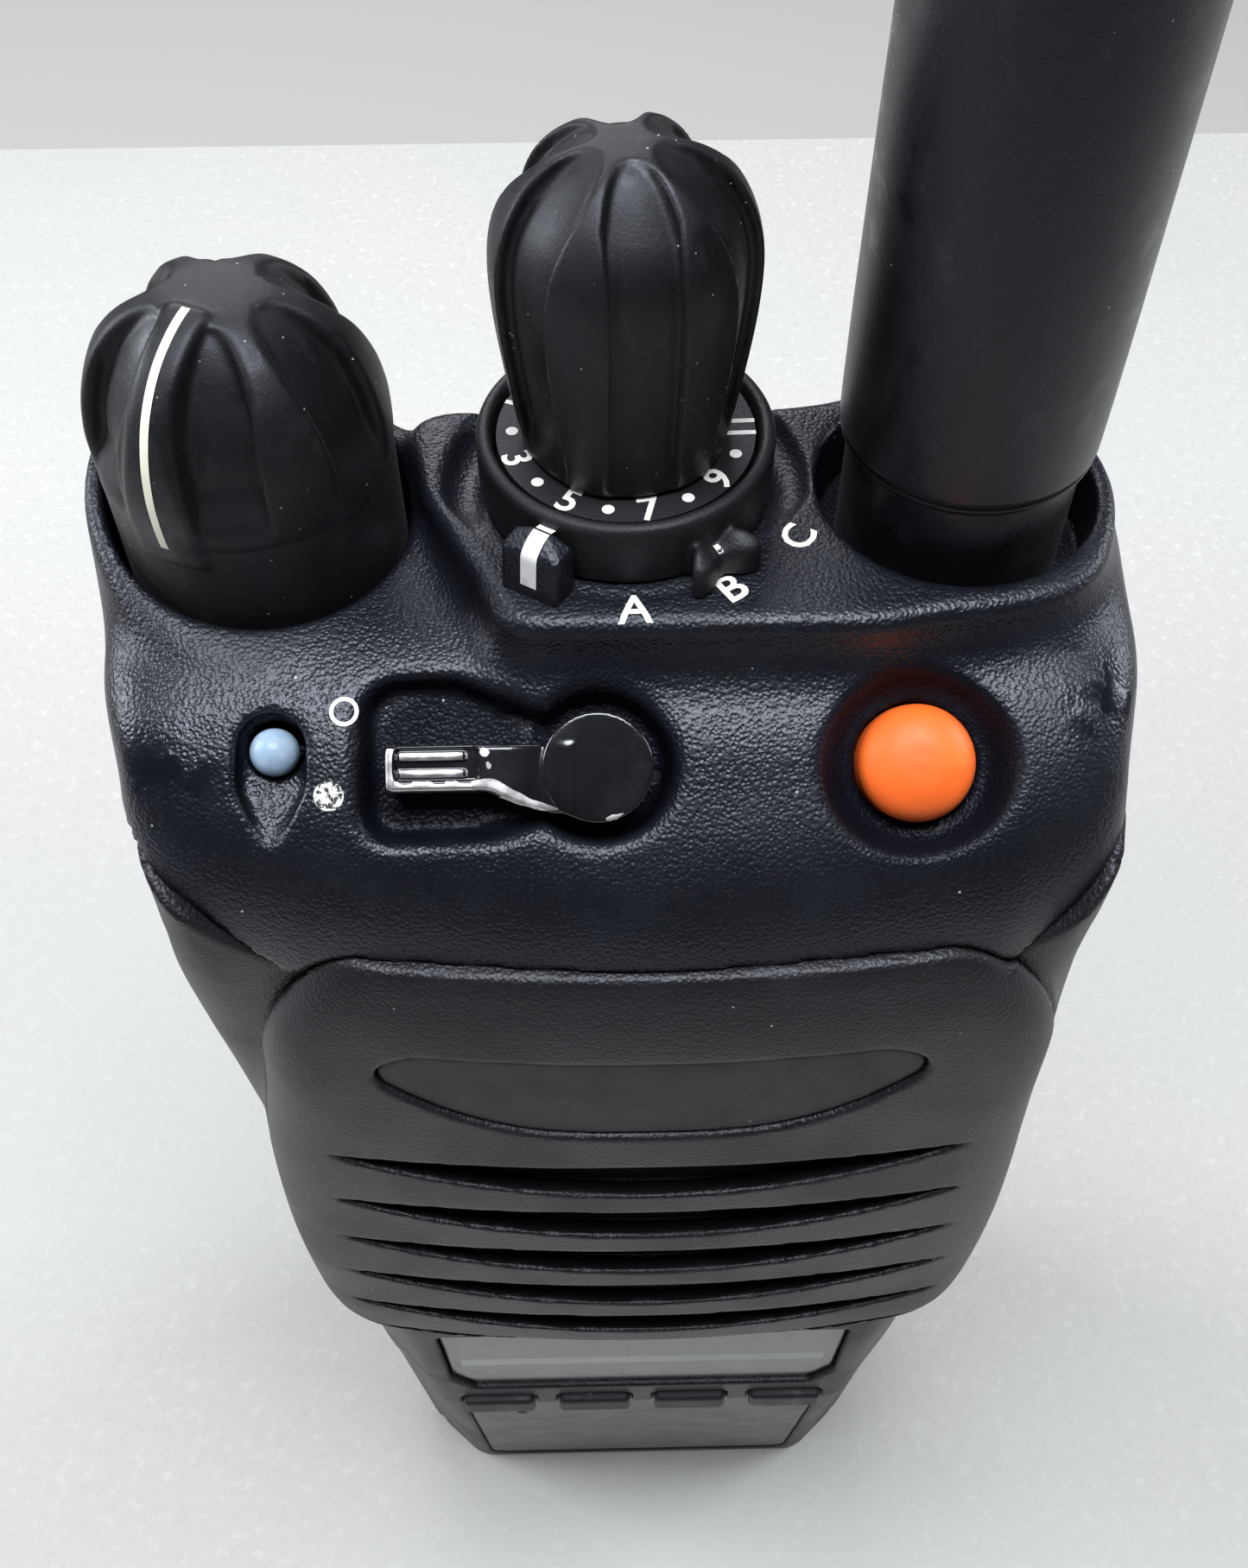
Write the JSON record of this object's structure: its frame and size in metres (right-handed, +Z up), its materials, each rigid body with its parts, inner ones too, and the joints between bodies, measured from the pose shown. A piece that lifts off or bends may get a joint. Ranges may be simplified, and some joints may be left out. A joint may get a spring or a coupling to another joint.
{
  "type": "handheld two-way radio",
  "caption": "Handheld two-way radio with sloping top deck, volume and channel knobs, lettered ring switch, lever, orange call button, stub antenna, slitted speaker and clip-on battery.",
  "frame": {"origin": "middle of the foot's resting face", "axes": "+Z up along the antenna, -Y towards the speaker front, +X towards the antenna side"},
  "size_m": [0.0595, 0.0401, 0.265],
  "materials": {
    "case_black": "moulded leather grain, worn edges",
    "knob_rubber": "soft-touch, dusty",
    "dial_black": "fine texture with white printed numerals",
    "plate_black": "smooth blank plate",
    "panel_grey": "smooth",
    "seal_rubber": "plain",
    "steel": "turned",
    "shield_metal": "tin plated",
    "window_clear": "clear, slightly scratched",
    "display_grey": "liquid crystal, switched off",
    "board_green": "solder resist",
    "key_black": "moulded keys",
    "mesh_cloth": "fine woven grille cloth",
    "cone_black": "pressed film",
    "magnet_grey": "plain",
    "switch_cream": "plain",
    "contact_gold": "plated",
    "lever_gloss": "polished, worn at the tip",
    "alert_orange": "semi-gloss",
    "lens_white": "milky light guide",
    "antenna_black": "smooth sheath",
    "battery_black": "moulded texture",
    "cell_blue": "shrink sleeve"
  },
  "bodies": {
    "radio": {"top_case": "case_black", "rear_case": "case_black", "front_case": "case_black", "name_plate": "plate_black", "lower_panel": "panel_grey", "case_gasket": "seal_rubber", "case_screws": "steel", "display_window": "window_clear", "display_module": "display_grey", "control_board": "board_green", "main_board": "board_green", "shield_can": "shield_metal", "key_mat": "seal_rubber", "speaker_mesh": "mesh_cloth", "speaker_frame": "shield_metal", "speaker_cone": "cone_black", "speaker_magnet": "magnet_grey", "microphone": "shield_metal", "ptt_seal": "seal_rubber", "side_switches": "switch_cream", "accessory_cover": "case_black", "accessory_cover_screw": "steel", "accessory_contacts": "contact_gold", "volume_control": "steel", "selector_switch": "steel", "pointer_block": "case_black", "volume_nut": "steel", "lever_seal": "seal_rubber", "lever_switch": "steel", "alert_seal": "seal_rubber", "alert_switch": "switch_cream", "status_lens": "lens_white", "antenna_sleeve": "antenna_black", "antenna_core": "contact_gold", "antenna_base": "antenna_black", "antenna_socket": "contact_gold", "antenna_nut": "steel", "battery_case": "battery_black", "battery_cover": "battery_black", "battery_cells": "cell_blue", "battery_terminals": "contact_gold", "radio_contacts": "contact_gold", "clip_inserts": "contact_gold"},
    "volume": {"volume_knob": "knob_rubber", "volume_shaft": "steel"},
    "selector": {"selector_knob": "knob_rubber", "channel_dial": "dial_black", "selector_shaft": "steel"},
    "ring": {"ring_switch": "knob_rubber"},
    "lever": {"lever": "lever_gloss"},
    "alert": {"alert_button": "alert_orange"},
    "ptt": {"ptt_button": "key_black"},
    "upper_key": {"side_key_upper": "key_black"},
    "lower_key": {"side_key_lower": "key_black"},
    "key_1": {"front_key_1": "key_black"},
    "key_2": {"front_key_2": "key_black"},
    "key_3": {"front_key_3": "key_black"},
    "key_4": {"front_key_4": "key_black"},
    "latch": {"battery_latch": "battery_black"}
  },
  "joints": [
    {"name": "volume_turn", "type": "hinge", "parent": "radio", "child": "volume", "pos_m": [-0.0214, 0.0008, 0.14], "axis": [0, 0, 1], "range_deg": [-285, 0]},
    {"name": "selector_turn", "type": "hinge", "parent": "radio", "child": "selector", "pos_m": [-0.001, 0.0006, 0.14], "axis": [0, 0, 1], "range_deg": [-240, 60]},
    {"name": "ring_turn", "type": "hinge", "parent": "radio", "child": "ring", "pos_m": [-0.001, 0.0006, 0.14], "axis": [0, 0, 1], "range_deg": [-30, 30]},
    {"name": "lever_turn", "type": "hinge", "parent": "radio", "child": "lever", "pos_m": [-0.0028, -0.01489, 0.13315], "axis": [0, -0.6157, 0.788], "range_deg": [-16, 0]},
    {"name": "alert_press", "type": "slide", "parent": "radio", "child": "alert", "axis": [0, 0.6157, -0.788], "range_m": [0, 0.001], "stiffness_N_per_m": 1500, "springref_m": -0.0006},
    {"name": "ptt_press", "type": "slide", "parent": "radio", "child": "ptt", "axis": [1, 0, 0], "range_m": [0, 0.0007], "stiffness_N_per_m": 3000, "springref_m": -0.0004},
    {"name": "upper_key_press", "type": "slide", "parent": "radio", "child": "upper_key", "axis": [1, 0, 0], "range_m": [0, 0.0005], "stiffness_N_per_m": 2500, "springref_m": -0.0004},
    {"name": "lower_key_press", "type": "slide", "parent": "radio", "child": "lower_key", "axis": [1, 0, 0], "range_m": [0, 0.0005], "stiffness_N_per_m": 2500, "springref_m": -0.0004},
    {"name": "key_1_press", "type": "slide", "parent": "radio", "child": "key_1", "axis": [0, 1, 0], "range_m": [0, 0.0005], "stiffness_N_per_m": 2000, "springref_m": -0.0004},
    {"name": "key_2_press", "type": "slide", "parent": "radio", "child": "key_2", "axis": [0, 1, 0], "range_m": [0, 0.0005], "stiffness_N_per_m": 2000, "springref_m": -0.0004},
    {"name": "key_3_press", "type": "slide", "parent": "radio", "child": "key_3", "axis": [0, 1, 0], "range_m": [0, 0.0005], "stiffness_N_per_m": 2000, "springref_m": -0.0004},
    {"name": "key_4_press", "type": "slide", "parent": "radio", "child": "key_4", "axis": [0, 1, 0], "range_m": [0, 0.0005], "stiffness_N_per_m": 2000, "springref_m": -0.0004},
    {"name": "latch_slide", "type": "slide", "parent": "radio", "child": "latch", "axis": [0, 0, 1], "range_m": [0, 0.0022], "stiffness_N_per_m": 500, "springref_m": -0.003}
  ]
}
